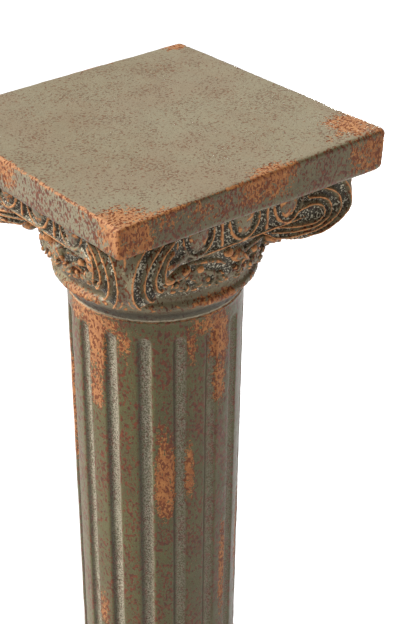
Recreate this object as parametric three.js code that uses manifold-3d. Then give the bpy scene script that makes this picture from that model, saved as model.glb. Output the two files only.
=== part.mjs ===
import * as THREE from 'three';
import Module from 'manifold-3d';
import { mergeVertices } from 'three/addons/utils/BufferGeometryUtils.js';

const wasm = await Module();
wasm.setup();

// Garden pedestal, cast in one piece. Millimetres, +Z up, origin under the middle of the base.
// The sizes called DOWN are measured from the slab's top face.

// Overall height and the slab
const HEIGHT = 760;
const SLAB_HALF = 150;
const SLAB_THICK = 37;
const CORNER_ROUND = 9;
const ARRIS = 3;

// Shaft and its flutes
const SHAFT_R = 87.2;
const FLUTES = 16;
const FLUTE_HALF_DEG = 4.8;
const FLUTE_DEPTH = 4.6;
const FLUTE_TURN_DEG = 0.2;
const FLUTE_TOP_DOWN = 184;

// Neck: a groove, a cove, a ring and a second cove up to the leaves
const GROOVE_DOWN = 168;
const GROOVE_SINK = 2;
const RING_DOWN = 144;
const RING_R = 100;
const RING_HALF = 4.5;
const RING_FOOT_R = 94.5;
const COVE_DOWN = 127;
const COVE_R = 102.5;
const LEAF_FOOT_DOWN = 121;
const LEAF_FOOT_R = 108;

// Bell behind the leaves
const BELL_DOWN = 99;
const BELL_R = 116;
const BELL_TOP_R = 119;
const BAND_FOOT_DOWN = 73;

// Egg-and-dart band
const BAND_HALF = 127;
const BAND_LIP = 2.4;
const EGG_PITCH = 51.75;
const EGG_HALF_WIDTH = 12.5;
const EGG_DOWN = 49;
const EGG_HALF_HEIGHT = 19;
const EGG_RELIEF = 5.5;
const FRAME_GAP = 5;
const FRAME_RELIEF = 3.5;
const FRAME_FOOT = 3.2;

// Leaves: half the width, half the height, relief
const MIDDLE_LEAF = [13, 13, 6];
const SIDE_LEAF = [11, 12, 5];
const OUTER_LEAF = [12, 12, 6];

// Corner scrolls: the middle of the curl is measured across the side and down from the slab's top
const CURL_ACROSS = 78;
const CURL_DOWN = 66;
const HORN_FACE = 130.5;
const HORN_ROOT_ACROSS = 28;
const HORN_ROOT_FACE = 108;
const HORN_STRAIGHT_FROM = 88;
const RIB_RELIEF = 6.5;
const RIB_FOOT = 3.7;
const ROOT_SINK = 2.5;

// Each rib's reach outwards, downwards and upwards from the middle of its curl, how far round it
// climbs in degrees, and where its stem leaves the bell, across the side and down
const RIBS = [
  { out: 51.5, down: 26, up: 38, climb: 50, stem: null },
  { out: 38.5, down: 23.5, up: 26, climb: 68, stem: [52, 90] },
  { out: 24, down: 18, up: 24, climb: 84, stem: [48, 85] },
  { out: 15, down: 11, up: 11, climb: 125, stem: [44, 79] },
];

// Base: plinth, lower roll, hollow, upper roll, fillet and the sweep up to the shaft
const PLINTH_HALF = 134;
const PLINTH_HEIGHT = 20;
const LOWER_ROLL_R = 126;
const LOWER_ROLL_HEIGHT = 20;
const HOLLOW_R = 104;
const HOLLOW_HEIGHT = 12;
const UPPER_ROLL_R = 110;
const UPPER_ROLL_HEIGHT = 11;
const FOOT_FILLET_R = 98;
const FOOT_FILLET_HEIGHT = 4;
const SWEEP_HEIGHT = 13;
const FLUTE_FOOT_GAP = 24;

const RAD = Math.PI / 180;
const SIDES_ROUND = 32;
const HOLLOW_FOOT = PLINTH_HEIGHT + LOWER_ROLL_HEIGHT;
const UPPER_ROLL_FOOT = HOLLOW_FOOT + HOLLOW_HEIGHT;
const FILLET_FOOT = UPPER_ROLL_FOOT + UPPER_ROLL_HEIGHT;
const SWEEP_FOOT = FILLET_FOOT + FOOT_FILLET_HEIGHT;
const SHAFT_FOOT = SWEEP_FOOT + SWEEP_HEIGHT;
const FLUTE_FOOT = SWEEP_FOOT + FLUTE_FOOT_GAP;

function solidOf(geometry) {
  const plain = geometry.clone();
  plain.deleteAttribute('normal');
  plain.deleteAttribute('uv');
  const merged = mergeVertices(plain, 1e-4);
  return new wasm.Manifold(new wasm.Mesh({
    numProp: 3,
    vertProperties: new Float32Array(merged.attributes.position.array),
    triVerts: new Uint32Array(merged.index.array),
  }));
}

function geometryOf(solid) {
  const mesh = solid.getMesh();
  const geometry = new THREE.BufferGeometry();
  geometry.setAttribute('position', new THREE.Float32BufferAttribute(mesh.vertProperties, 3));
  geometry.setIndex(new THREE.Uint32BufferAttribute(mesh.triVerts, 1));
  const flat = geometry.toNonIndexed();
  flat.computeVertexNormals();
  return flat;
}

function indexed(points, faces) {
  const geometry = new THREE.BufferGeometry();
  geometry.setAttribute('position', new THREE.Float32BufferAttribute(points.flat(), 3));
  geometry.setIndex(faces.flat());
  return geometry;
}

// A closed solid through loops of equally many points, from the lowest loop to the highest
function stack(loops) {
  const n = loops[0].length;
  const points = loops.flat();
  const faces = [];
  for (let row = 0; row < loops.length - 1; row += 1) {
    for (let i = 0; i < n; i += 1) {
      const a = row * n + i;
      const b = row * n + (i + 1) % n;
      faces.push([a, b, b + n], [a, b + n, a + n]);
    }
  }
  const last = (loops.length - 1) * n;
  const low = points.length;
  points.push([0, 0, loops[0][0][2]], [0, 0, loops[loops.length - 1][0][2]]);
  for (let i = 0; i < n; i += 1) {
    const j = (i + 1) % n;
    faces.push([low, j, i], [low + 1, last + i, last + j]);
  }
  return solidOf(indexed(points, faces));
}

function roundedSquare(half, corner, z) {
  const steps = 3;
  const reach = (half - corner) * Math.SQRT2;
  const loop = [];
  for (let quarter = 0; quarter < 4; quarter += 1) {
    const middle = (quarter + 0.5) * Math.PI / 2;
    for (let i = 0; i <= steps; i += 1) {
      const turn = (quarter + i / steps) * Math.PI / 2;
      loop.push([
        reach * Math.cos(middle) + corner * Math.cos(turn),
        reach * Math.sin(middle) + corner * Math.sin(turn),
        z,
      ]);
    }
  }
  return loop;
}

// A square block with softened arrises
function block(half, bottom, top) {
  const lean = ARRIS * 0.3;
  return stack([
    roundedSquare(half - ARRIS, CORNER_ROUND, bottom),
    roundedSquare(half - lean, CORNER_ROUND, bottom + lean),
    roundedSquare(half, CORNER_ROUND, bottom + ARRIS),
    roundedSquare(half, CORNER_ROUND, top - ARRIS),
    roundedSquare(half - lean, CORNER_ROUND, top - lean),
    roundedSquare(half - ARRIS, CORNER_ROUND, top),
  ]);
}

// A turned solid from [radius, height] pairs, lowest first
function turned(profile) {
  const ends = [[0, profile[0][1]], ...profile, [0, profile[profile.length - 1][1]]];
  const points = ends.map(([r, z]) => new THREE.Vector2(r, z));
  const geometry = new THREE.LatheGeometry(points, SIDES_ROUND);
  geometry.rotateX(Math.PI / 2);
  return solidOf(geometry);
}

// A half-round moulding that stands out to a radius
function roll(outer, bottom, height, steps) {
  const bulge = height * 0.42;
  const profile = [];
  for (let i = 0; i <= steps; i += 1) {
    const turn = (i / steps - 0.5) * Math.PI;
    const r = outer - bulge * (1 - Math.cos(turn));
    profile.push([r, bottom + height / 2 * (1 + Math.sin(turn))]);
  }
  return profile;
}

// One level of the shaft; the flutes are sunk by a share of their full depth and width
function fluteLoop(z, sink) {
  const loop = [];
  for (let flute = 0; flute < FLUTES; flute += 1) {
    const middle = (flute * 360 / FLUTES + FLUTE_TURN_DEG) * RAD;
    const land = middle + 180 / FLUTES * RAD;
    for (const across of [-1, -0.6, 0, 0.6, 1]) {
      const turn = middle + across * FLUTE_HALF_DEG * RAD * Math.max(sink, 0.12);
      const r = SHAFT_R - FLUTE_DEPTH * sink * (1 - across * across);
      loop.push([r * Math.cos(turn), r * Math.sin(turn), z]);
    }
    loop.push([SHAFT_R * Math.cos(land), SHAFT_R * Math.sin(land), z]);
  }
  return loop;
}

function shaft() {
  const roundEnd = SHAFT_R * FLUTE_HALF_DEG * RAD;
  const fluteTop = HEIGHT - FLUTE_TOP_DOWN;
  const sink = (t) => Math.sqrt(1 - (1 - t) ** 2);
  const loops = [fluteLoop(SWEEP_FOOT, 0)];
  for (const t of [0, 0.4, 1]) {
    loops.push(fluteLoop(FLUTE_FOOT + roundEnd * t, sink(t)));
  }
  for (const t of [1, 0.5, 0.15, 0]) {
    loops.push(fluteLoop(fluteTop - roundEnd * t, sink(t)));
  }
  loops.push(fluteLoop(HEIGHT - GROOVE_DOWN, 0));
  return stack(loops);
}

function neckAndBell() {
  const ring = HEIGHT - RING_DOWN;
  const groove = HEIGHT - GROOVE_DOWN;
  const soft = RING_HALF * 0.25;
  return turned([
    [SHAFT_R - GROOVE_SINK * 2, groove - GROOVE_SINK * 3],
    [SHAFT_R - GROOVE_SINK, groove],
    [SHAFT_R + GROOVE_SINK * 0.3, groove + GROOVE_SINK * 0.75],
    [(SHAFT_R + RING_FOOT_R) / 2 - GROOVE_SINK / 2, (groove + ring - RING_HALF) / 2],
    [RING_FOOT_R, ring - RING_HALF * 1.9],
    [RING_R - soft * 3, ring - RING_HALF],
    [RING_R, ring],
    [RING_R - soft, ring + RING_HALF * 0.6],
    [RING_R - soft * 3, ring + RING_HALF],
    [RING_R - soft, ring + RING_HALF * 2.4],
    [COVE_R, HEIGHT - COVE_DOWN],
    [LEAF_FOOT_R, HEIGHT - LEAF_FOOT_DOWN],
    [BELL_R, HEIGHT - BELL_DOWN],
    [BELL_TOP_R, HEIGHT - (BELL_DOWN + BAND_FOOT_DOWN) / 2],
    [BELL_TOP_R, HEIGHT - BAND_FOOT_DOWN + BAND_LIP],
  ]);
}

// The bell's radius behind a leaf
function bellRadius(down) {
  const low = THREE.MathUtils.mapLinear(down, LEAF_FOOT_DOWN, BELL_DOWN, LEAF_FOOT_R, BELL_R);
  const middle = (BELL_DOWN + BAND_FOOT_DOWN) / 2;
  const high = THREE.MathUtils.mapLinear(down, BELL_DOWN, middle, BELL_R, BELL_TOP_R);
  return down > BELL_DOWN ? low : Math.min(high, BELL_TOP_R);
}

// A sharp-backed ridge along a path on the side that faces -Y. The path is [across, down] pairs.
function ridge(path, face, foot, relief) {
  const points = [];
  const faces = [];
  path.forEach(([x, down], i) => {
    const before = path[Math.max(i - 1, 0)];
    const after = path[Math.min(i + 1, path.length - 1)];
    const run = new THREE.Vector2(after[0] - before[0], after[1] - before[1]).normalize();
    for (const [side, out] of [[foot, -ROOT_SINK], [0, relief], [-foot, -ROOT_SINK]]) {
      points.push([x - run.y * side, -face(x) - out, HEIGHT - down - run.x * side]);
    }
  });
  for (let i = 0; i < path.length - 1; i += 1) {
    for (let j = 0; j < 3; j += 1) {
      const a = i * 3 + j;
      const b = i * 3 + (j + 1) % 3;
      faces.push([a, a + 3, b + 3], [a, b + 3, b]);
    }
  }
  const end = (path.length - 1) * 3;
  faces.push([0, 1, 2], [end, end + 2, end + 1]);
  return solidOf(indexed(points, faces));
}

// A low dome on a face that looks along -Y: rings of an outline, shrunk towards its middle
function dome(outline, middle, face, relief, rings) {
  const points = [];
  const faces = [];
  const n = outline.length;
  for (const [scale, out] of rings) {
    for (const [x, down] of outline) {
      points.push([
        middle[0] + (x - middle[0]) * scale,
        -face - relief * out,
        HEIGHT - middle[1] - (down - middle[1]) * scale,
      ]);
    }
  }
  const last = (rings.length - 1) * n;
  const low = points.length;
  points.push([middle[0], -face - relief * rings[0][1], HEIGHT - middle[1]]);
  points.push([middle[0], -face - relief, HEIGHT - middle[1]]);
  for (let i = 0; i < n; i += 1) {
    const j = (i + 1) % n;
    for (let row = 0; row < rings.length - 1; row += 1) {
      const a = row * n;
      faces.push([a + i, a + j, a + n + j], [a + i, a + n + j, a + n + i]);
    }
    faces.push([low, j, i], [low + 1, last + i, last + j]);
  }
  return solidOf(indexed(points, faces));
}

// How far out the scroll's face stands: straight at the corner, drawn back towards the bell
function hornFace(x) {
  const span = HORN_STRAIGHT_FROM - HORN_ROOT_ACROSS;
  const back = THREE.MathUtils.clamp((HORN_STRAIGHT_FROM - Math.abs(x)) / span, 0, 1);
  return HORN_FACE - (HORN_FACE - HORN_ROOT_FACE) * back * back;
}

// The body of a corner scroll: columns down one side, each joined straight across to the next side's
function horn() {
  const outer = HORN_FACE * 0.995;
  const foot = RIBS[0].down;
  const columns = [[HORN_ROOT_ACROSS, CURL_DOWN + foot * 0.92]];
  for (const along of [0.36, 0.68]) {
    columns.push([THREE.MathUtils.lerp(HORN_ROOT_ACROSS, CURL_ACROSS, along), CURL_DOWN + foot]);
  }
  for (let i = 5; i >= 0; i -= 1) {
    const turn = i / 5 * Math.PI / 2;
    const across = CURL_ACROSS + (outer - CURL_ACROSS) * Math.cos(turn);
    columns.push([across, CURL_DOWN + foot * Math.sin(turn)]);
  }
  const points = [];
  for (const [x, down] of columns) {
    const face = hornFace(x);
    const middle = (x + face) / 2 - (face - x) * 0.03;
    const low = HEIGHT - down;
    const high = HEIGHT - SLAB_THICK + ARRIS;
    points.push([x, -face, low], [middle, -middle, low], [face, -x, low]);
    points.push([face, -x, high], [middle, -middle, high], [x, -face, high]);
  }
  const faces = [];
  for (let i = 0; i < columns.length - 1; i += 1) {
    for (let j = 0; j < 6; j += 1) {
      const a = i * 6 + j;
      const b = i * 6 + (j + 1) % 6;
      faces.push([a, b, b + 6], [a, b + 6, a + 6]);
    }
  }
  const end = (columns.length - 1) * 6;
  faces.push([0, 4, 1], [0, 5, 4], [1, 3, 2], [1, 4, 3]);
  faces.push([end, end + 1, end + 4], [end, end + 4, end + 5]);
  faces.push([end + 1, end + 2, end + 3], [end + 1, end + 3, end + 4]);
  return solidOf(indexed(points, faces));
}

function ribPath(rib) {
  const steps = 6;
  const path = rib.stem ? [rib.stem] : [];
  for (let i = rib.stem ? 0 : 1; i <= steps; i += 1) {
    const turn = (i / steps * (90 + rib.climb) - 90) * RAD;
    const rise = Math.sin(turn);
    const across = CURL_ACROSS + rib.out * Math.cos(turn);
    path.push([across, CURL_DOWN - rise * (rise < 0 ? rib.down : rib.up)]);
  }
  return path;
}

function mirrored(path) {
  return path.map(([x, down]) => [-x, down]).reverse();
}

// Half a round below a centre, its sides carried up into the slab
function horseshoe(x, halfWidth, halfHeight, steps) {
  const path = [[x - halfWidth, SLAB_THICK - ARRIS]];
  for (let i = 0; i <= steps; i += 1) {
    const turn = i / steps * Math.PI;
    path.push([x - halfWidth * Math.cos(turn), EGG_DOWN + halfHeight * Math.sin(turn)]);
  }
  path.push([x + halfWidth, SLAB_THICK - ARRIS]);
  return path;
}

function egg(x) {
  const outline = horseshoe(x, EGG_HALF_WIDTH, EGG_HALF_HEIGHT, 8);
  const middle = [x, EGG_DOWN + EGG_HALF_HEIGHT * 0.15];
  return dome(outline, middle, BAND_HALF, EGG_RELIEF, [[1, -0.3], [0.84, 0.6], [0.5, 0.92]]);
}

function frame(x) {
  const path = horseshoe(x, EGG_HALF_WIDTH + FRAME_GAP, EGG_HALF_HEIGHT + FRAME_GAP * 0.4, 5);
  return ridge(path, () => BAND_HALF, FRAME_FOOT, FRAME_RELIEF);
}

function dart(x) {
  const path = [[x, SLAB_THICK - ARRIS], [x, BAND_FOOT_DOWN - FRAME_GAP]];
  return ridge(path, () => BAND_HALF, FRAME_FOOT, FRAME_RELIEF);
}

// A pointed leaf that lies on the bell, its tip turned by a lean in degrees
function leaf(turnDeg, down, [halfWidth, halfHeight, relief], leanDeg) {
  const shape = [[0, -0.8], [-0.8, -0.6], [-1, 0], [-0.5, 0.6], [0, 1], [0.5, 0.6], [1, 0], [0.8, -0.6]];
  const cos = Math.cos(leanDeg * RAD);
  const sin = Math.sin(leanDeg * RAD);
  const outline = shape.map(([across, drop]) => {
    const x = across * halfWidth;
    const y = drop * halfHeight;
    return [x * cos - y * sin, down + x * sin + y * cos];
  });
  return dome(outline, [0, down], bellRadius(down), relief, [[1, -1], [0.7, 0.8]]).rotate([0, 0, turnDeg]);
}

// Everything on the side that faces -Y, and the corner scroll at its right
function side() {
  const parts = [horn()];
  for (const rib of RIBS) {
    const path = ribPath(rib);
    parts.push(ridge(path, hornFace, RIB_FOOT, RIB_RELIEF));
    parts.push(ridge(mirrored(path), hornFace, RIB_FOOT, RIB_RELIEF));
  }
  for (const place of [-1, 0, 1]) {
    parts.push(egg(place * EGG_PITCH), frame(place * EGG_PITCH));
  }
  for (const place of [-0.5, 0.5]) {
    parts.push(dart(place * EGG_PITCH));
  }
  const high = THREE.MathUtils.lerp(BAND_FOOT_DOWN, LEAF_FOOT_DOWN, 0.37);
  const low = THREE.MathUtils.lerp(BAND_FOOT_DOWN, LEAF_FOOT_DOWN, 0.64);
  parts.push(leaf(0, high, MIDDLE_LEAF, 0));
  for (const hand of [-1, 1]) {
    parts.push(leaf(hand * 16, low, SIDE_LEAF, hand * 30));
    parts.push(leaf(hand * 32, (high + low) / 2, OUTER_LEAF, hand * -40));
  }
  return parts;
}

const base = turned([
  [LOWER_ROLL_R - LOWER_ROLL_HEIGHT / 2, PLINTH_HEIGHT - ARRIS * 1.5],
  ...roll(LOWER_ROLL_R, PLINTH_HEIGHT, LOWER_ROLL_HEIGHT, 5),
  [HOLLOW_R + HOLLOW_HEIGHT * 0.3, HOLLOW_FOOT + HOLLOW_HEIGHT * 0.14],
  [HOLLOW_R, HOLLOW_FOOT + HOLLOW_HEIGHT * 0.55],
  ...roll(UPPER_ROLL_R, UPPER_ROLL_FOOT, UPPER_ROLL_HEIGHT, 4),
  [FOOT_FILLET_R, FILLET_FOOT + ARRIS * 0.3],
  [FOOT_FILLET_R, SWEEP_FOOT],
  [THREE.MathUtils.lerp(SHAFT_R, FOOT_FILLET_R, 0.4), SWEEP_FOOT + SWEEP_HEIGHT * 0.3],
  [THREE.MathUtils.lerp(SHAFT_R, FOOT_FILLET_R, 0.1), SWEEP_FOOT + SWEEP_HEIGHT * 0.75],
  [SHAFT_R - GROOVE_SINK, SHAFT_FOOT],
]);

const band = stack([
  roundedSquare(BAND_HALF - BAND_LIP * 1.6, CORNER_ROUND, HEIGHT - BAND_FOOT_DOWN),
  roundedSquare(BAND_HALF + BAND_LIP * 0.8, CORNER_ROUND, HEIGHT - BAND_FOOT_DOWN + BAND_LIP * 0.6),
  roundedSquare(BAND_HALF + BAND_LIP, CORNER_ROUND, HEIGHT - BAND_FOOT_DOWN + BAND_LIP * 1.4),
  roundedSquare(BAND_HALF, CORNER_ROUND, HEIGHT - BAND_FOOT_DOWN + BAND_LIP * 2.2),
  roundedSquare(BAND_HALF, CORNER_ROUND, HEIGHT - SLAB_THICK + ARRIS),
]);

const pieces = [
  block(SLAB_HALF, HEIGHT - SLAB_THICK, HEIGHT),
  block(PLINTH_HALF, 0, PLINTH_HEIGHT),
  base,
  shaft(),
  neckAndBell(),
  band,
];
const oneSide = side();
for (const quarter of [0, 90, 180, 270]) {
  pieces.push(...oneSide.map((part) => part.rotate([0, 0, quarter])));
}
const casting = pieces.reduce((whole, piece) => whole.add(piece));

const painted = new THREE.MeshStandardMaterial({ color: 0x6d6a56, roughness: 0.6 });
painted.name = 'aged_paint';
const pedestal = new THREE.Mesh(geometryOf(casting), painted);
pedestal.name = 'pedestal';

const group = new THREE.Group();
group.name = 'garden_pedestal';
group.add(pedestal);

export default group;
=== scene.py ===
import math

import bpy
import numpy as np
from mathutils import Matrix, Vector


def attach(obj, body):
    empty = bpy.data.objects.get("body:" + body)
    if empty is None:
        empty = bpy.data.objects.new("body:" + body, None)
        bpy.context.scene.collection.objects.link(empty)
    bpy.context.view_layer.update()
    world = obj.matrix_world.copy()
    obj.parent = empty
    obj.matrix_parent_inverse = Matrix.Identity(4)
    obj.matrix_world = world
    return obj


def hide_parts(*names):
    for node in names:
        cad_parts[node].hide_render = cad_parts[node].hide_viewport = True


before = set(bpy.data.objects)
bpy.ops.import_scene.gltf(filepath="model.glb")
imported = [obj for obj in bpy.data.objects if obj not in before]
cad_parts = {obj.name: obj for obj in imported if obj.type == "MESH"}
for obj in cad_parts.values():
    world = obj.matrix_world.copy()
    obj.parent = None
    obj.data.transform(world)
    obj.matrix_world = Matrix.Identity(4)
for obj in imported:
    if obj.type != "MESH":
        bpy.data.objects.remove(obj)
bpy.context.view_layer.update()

# Lengths are in millimetres until a mesh is written. "Down" is measured from the level that the
# slab's top face keeps on average, a little under its highest corner.
MM = 0.001
LEVEL = 755.5
SOLID_HALF = 150
SOLID_HEIGHT = 760
SLAB_HALF = 149.8
SLAB_THICK = 34.5
CORNER_ROUND = 4.0
CORNER_STEPS = 6
SHAFT_R = 87.2
FLUTES = 16
FLUTE_WIDTH = 14.8
FLUTE_DEPTH = 4.6
FLUTE_TURN = 0.2
FLUTE_TOP_DOWN = 181.0
FLUTE_FOOT = 91.0
GROOVE_DOWN = 162.0
BAND_HALF = 127.0
BAND_FOOT_DOWN = 70.0
EGG_PITCH = 51.75
CURL_ACROSS = 76.0
CURL_DOWN = 67.0
CURL_FOOT = 25.0
RIB_HALF = 1.6
RIB_RELIEF = 6.6
RIB_FOOT_HALF = 3.3
RIB_FOOT_RELIEF = 3.4
HORN_FACE = 130.5
HORN_ROOT_ACROSS = 28.0
HORN_ROOT_FACE = 108.0
HORN_STRAIGHT_FROM = 88.0
PLINTH_HALF = 133.6
PLINTH_HEIGHT = 20.0
PLINTH_CORNER = 8
BAND_CORNER = 6

# The picture that the camera was solved for, in pixels, and the camera's sensor
PHOTO_WIDE = 416
PHOTO_HIGH = 624
SENSOR = 36

# Each rib of a scroll: reach outwards, downwards and upwards from the middle of its curl, how far
# round it climbs in degrees, and where its stem leaves the bell
RIBS = (
    dict(out=50, down=21.5, up=40, climb=60, stem=None),
    dict(out=36.8, down=16, up=26, climb=80, stem=(46, 86)),
    dict(out=24.2, down=12, up=18, climb=95, stem=(42, 80)),
    dict(out=15.5, down=8, up=11.5, climb=150, stem=(38, 74)),
)
# The front corner's scroll slumped in casting: its ribs, the outermost first, and its underside,
# all as knots of (across, down)
SLUMPED_RIBS = (
    ((104, 32), (114, 40), (120.5, 48), (124.8, 59), (127, 70.5), (126.2, 81), (122.5, 89), (117, 94.5)),
    ((88, 36), (96, 41), (103, 48), (110, 58), (114.4, 71), (113, 82), (108.5, 89), (103, 91)),
    ((78, 40), (85, 44), (92, 50), (98, 59), (102.2, 70), (101, 79.5), (97, 84), (93, 84)),
    ((80, 52), (86, 54), (90, 59), (92.3, 67), (92, 75), (89, 79)),
)
SLUMPED_FOOT = (
    (28, 64), (50, 66), (68, 69), (80, 73), (87, 78), (93, 85), (101, 92), (110, 95.5), (118, 95.5),
    (124, 90), (128, 81), (129.8, 66), (129.9, 50),
)
SCROLL_ROOT = ((HORN_ROOT_ACROSS, 77.0), (36, 81.5), (44, 85.5), (53, 88.5), (62, 90.5), (70, 91.8))
# The bell as (down, radius), from under the slab to the cove over its ring
BELL_KNOTS = (
    (62, 118), (74, 117), (86, 112.5), (98, 108.5), (108, 106.5), (117.5, 106), (120.5, 103.2),
    (126, 99.6), (132, 97.2),
)
# Leaves on one half of a side: degrees from its middle, down, length, lean and lobes
LEAVES = (
    (19, 108, 17, 50, 5),
    (26, 114, 15, 72, 4),
    (5.5, 113, 12, -30, 4),
    (33, 104, 15, 20, 4),
    (40, 113, 14, -55, 4),
)


def deselect():
    if bpy.context.mode != "OBJECT":
        bpy.ops.object.mode_set(mode="OBJECT")
    bpy.ops.object.select_all(action="DESELECT")


def take(*pieces):
    deselect()
    for piece in pieces:
        piece.select_set(True)
    bpy.context.view_layer.objects.active = pieces[0]


def settle(piece):
    take(piece)
    bpy.ops.object.transform_apply(location=True, rotation=True, scale=True)
    return piece


def modify(piece, kind, **settings):
    take(piece)
    modifier = piece.modifiers.new(kind.lower(), kind)
    for name, value in settings.items():
        setattr(modifier, name, value)
    bpy.ops.object.modifier_apply(modifier=modifier.name)
    return piece


def joined(name, pieces):
    take(*pieces)
    bpy.ops.object.join()
    whole = bpy.context.object
    whole.name = name
    whole.data.name = name
    return whole


def points_of(piece):
    at = np.empty(len(piece.data.vertices) * 3)
    piece.data.vertices.foreach_get("co", at)
    return at.reshape(-1, 3)


def put_points(piece, at):
    piece.data.vertices.foreach_set("co", np.ascontiguousarray(at, dtype=float).ravel())
    piece.data.update()


def face_outwards(piece):
    take(piece)
    bpy.ops.object.mode_set(mode="EDIT")
    bpy.ops.mesh.select_all(action="SELECT")
    bpy.ops.mesh.normals_make_consistent(inside=False)
    bpy.ops.object.mode_set(mode="OBJECT")
    return piece


def drawn(name, rings):
    """A closed solid drawn through rings of points, each extruded from the one before."""
    deselect()
    bpy.ops.mesh.primitive_circle_add(vertices=len(rings[0]), radius=1.0, fill_type="NOTHING")
    piece = bpy.context.object
    piece.name = name
    bpy.ops.object.mode_set(mode="EDIT")
    bpy.ops.mesh.select_all(action="SELECT")
    for _ in rings[1:]:
        bpy.ops.mesh.extrude_region_move(TRANSFORM_OT_translate={"value": (0, 0, 1)})
    bpy.ops.object.mode_set(mode="OBJECT")
    at = points_of(piece)
    row = np.rint(at[:, 2]).astype(int)
    turn = np.round(np.arctan2(at[:, 1], at[:, 0]), 3)
    turn[turn < -3.14] = np.round(math.pi, 3)
    column = np.unique(turn, return_inverse=True)[1]
    put_points(piece, np.array(rings, dtype=float)[row, column] * MM)
    bpy.ops.object.mode_set(mode="EDIT")
    bpy.ops.mesh.select_all(action="SELECT")
    bpy.ops.mesh.fill_holes(sides=0)
    bpy.ops.object.mode_set(mode="OBJECT")
    return face_outwards(piece)


def turned(name, profile, sides=144):
    """A turned solid from (radius, height) pairs, lowest first."""
    turns = np.arange(sides) / sides * 2 * math.pi
    around = np.column_stack([np.cos(turns), np.sin(turns)])
    return drawn(name, [np.column_stack([around * r, np.full(sides, z)]) for r, z in profile])


def rounded_square(half, corner, z):
    ring = []
    reach = (half - corner) * math.sqrt(2)
    for quarter in range(4):
        middle = (quarter + 0.5) * math.pi / 2
        for i in range(CORNER_STEPS + 1):
            turn = (quarter + i / CORNER_STEPS) * math.pi / 2
            x = reach * math.cos(middle) + corner * math.cos(turn)
            y = reach * math.sin(middle) + corner * math.sin(turn)
            ring.append((x, y, z))
    return ring


def smoothed(knots, per):
    """A smooth line through knots, with so many points from each knot to the next."""
    knots = np.array(knots, dtype=float)
    ends = np.vstack([2 * knots[0] - knots[1], knots, 2 * knots[-1] - knots[-2]])
    out = []
    for a, b, c, d in zip(ends, ends[1:], ends[2:], ends[3:]):
        for t in np.arange(per) / per:
            bent = (2 * a - 5 * b + 4 * c - d) * t**2 + (3 * b - a - 3 * c + d) * t**3
            out.append(0.5 * (2 * b + (c - a) * t + bent))
    out.append(knots[-1])
    return [tuple(p) for p in out]


def roll(outer, low, height):
    """The profile of a rounded ring, by its outer radius and the height of its foot."""
    steps = 10
    bulge = height * 0.42
    out = []
    for i in range(steps + 1):
        turn = (i / steps - 0.5) * math.pi
        out.append((outer - bulge * (1 - math.cos(turn)), low + height / 2 * (1 + math.sin(turn))))
    return out


def horn_face(x):
    """How far out a scroll's face stands, straight at the corner and drawn back to the bell."""
    back = np.clip((HORN_STRAIGHT_FROM - np.abs(x)) / (HORN_STRAIGHT_FROM - HORN_ROOT_ACROSS), 0, 1)
    return HORN_FACE - (HORN_FACE - HORN_ROOT_FACE) * back * back


def band_face(x):
    return np.full_like(np.asarray(x, dtype=float), BAND_HALF)


def rod(name, places, half_width, ends, taper, resolution):
    """A round bar through places, thinned at its ends to shares of its width."""
    deselect()
    bpy.ops.curve.primitive_bezier_curve_add()
    piece = bpy.context.object
    piece.name = name
    line = piece.data
    line.dimensions = "3D"
    line.splines.clear()
    spline = line.splines.new("POLY")
    spline.points.add(len(places) - 1)
    for i, (point, (x, y, z)) in enumerate(zip(spline.points, places)):
        point.co = (x * MM, y * MM, z * MM, 1)
        along = i / (len(places) - 1)
        start = ends[0] + (1 - ends[0]) * along / taper
        stop = ends[1] + (1 - ends[1]) * (1 - along) / taper
        point.radius = min(1, start, stop)
    line.bevel_depth = half_width * MM
    line.bevel_resolution = resolution
    line.use_fill_caps = True
    bpy.ops.object.convert(target="MESH")
    return bpy.context.object


def ridge(name, path, half_width, relief, face, ends=(0.6, 0.6)):
    """A round-backed ridge along a path of (across, down) on the side that faces -Y."""
    piece = rod(name, [(x, 0, LEVEL - down) for x, down in path], half_width, ends, 0.12, 3)
    at = points_of(piece)
    at[:, 1] *= relief / half_width
    at[:, 1] -= face(at[:, 0] / MM) * MM
    put_points(piece, at)
    return piece


def lump(name, place, size, turn=(0, 0, 0), segments=20):
    """An egg-shaped lump: its place, its three half sizes and its turn in degrees."""
    deselect()
    bpy.ops.mesh.primitive_uv_sphere_add(
        segments=segments,
        ring_count=segments // 2,
        radius=1,
        location=Vector(place) * MM,
        rotation=[math.radians(a) for a in turn],
        scale=Vector(size) * MM,
    )
    piece = bpy.context.object
    piece.name = name
    return settle(piece)


def on_bell(name, turn, across, down, r, size, lean=0.0, tip=0.0):
    """A lump on the bell: lean turns it in the surface, tip throws its top outwards."""
    matrix = (
        Matrix.Rotation(math.radians(turn), 4, "Z")
        @ Matrix.Translation((across, -r, LEVEL - down))
        @ Matrix.Rotation(math.radians(tip), 4, "X")
        @ Matrix.Rotation(math.radians(lean), 4, "Y")
    )
    euler = matrix.to_euler()
    return lump(name, matrix.translation, size, [math.degrees(a) for a in euler])


def scroll_foot(slumped):
    """Where the underside of a scroll lies, as (across, down) from the bell to the corner."""
    if slumped:
        return smoothed(SLUMPED_FOOT, 2)
    columns = list(SCROLL_ROOT)
    steps = 13
    reach = HORN_FACE - 0.6 - CURL_ACROSS
    for i in range(steps, -1, -1):
        turn = i / steps * math.pi / 2
        columns.append((CURL_ACROSS + reach * math.cos(turn), CURL_DOWN + CURL_FOOT * math.sin(turn)))
    return columns


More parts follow.
